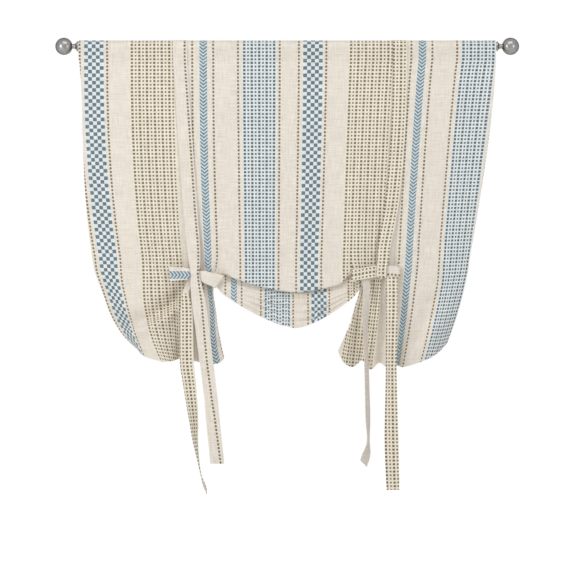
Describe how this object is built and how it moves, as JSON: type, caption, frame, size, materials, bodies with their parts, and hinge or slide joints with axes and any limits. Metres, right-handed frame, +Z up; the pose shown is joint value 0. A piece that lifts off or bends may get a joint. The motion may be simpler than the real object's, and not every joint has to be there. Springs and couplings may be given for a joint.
{
  "type": "tie-up curtain",
  "caption": "Tie-up curtain of striped linen cloth hung by a rod pocket on a telescopic rod with ball finials, drawn up by cloth ties knotted in bows over a swag.",
  "frame": {"origin": "on the rod's axis, midway between the two finials", "axes": "+X along the rod to the right as seen from the front, +Z up, the curtain's front faces -Y"},
  "size_m": [1.2982, 0.0924, 1.2742],
  "materials": {
    "printed_linen": "matt linen weave printed with stripes, dots and checks",
    "tie_linen": "matt linen weave cut from the same printed cloth",
    "brushed_nickel": "satin nickel plate",
    "finial_nickel": "satin nickel plate",
    "nylon": "moulded nylon"
  },
  "bodies": {
    "hung_rod": {"outer_rod_tube": "brushed_nickel", "rod_guide_bush": "nylon", "left_end_plug": "nylon", "curtain_panel": "printed_linen", "left_front_tie": "tie_linen", "left_back_tie": "tie_linen", "right_front_tie": "tie_linen", "right_back_tie": "tie_linen"},
    "sliding_rod": {"inner_rod_tube": "brushed_nickel", "right_end_plug": "nylon"},
    "left_finial_body": {"left_finial": "finial_nickel"},
    "right_finial_body": {"right_finial": "finial_nickel"}
  },
  "joints": [
    {"name": "rod_telescope", "type": "slide", "parent": "hung_rod", "child": "sliding_rod", "axis": [1, 0, 0], "range_m": [0, 0.12]},
    {"name": "left_finial_pull", "type": "slide", "parent": "hung_rod", "child": "left_finial_body", "axis": [-1, 0, 0], "range_m": [0, 0.05]},
    {"name": "right_finial_pull", "type": "slide", "parent": "sliding_rod", "child": "right_finial_body", "axis": [1, 0, 0], "range_m": [0, 0.05]}
  ]
}
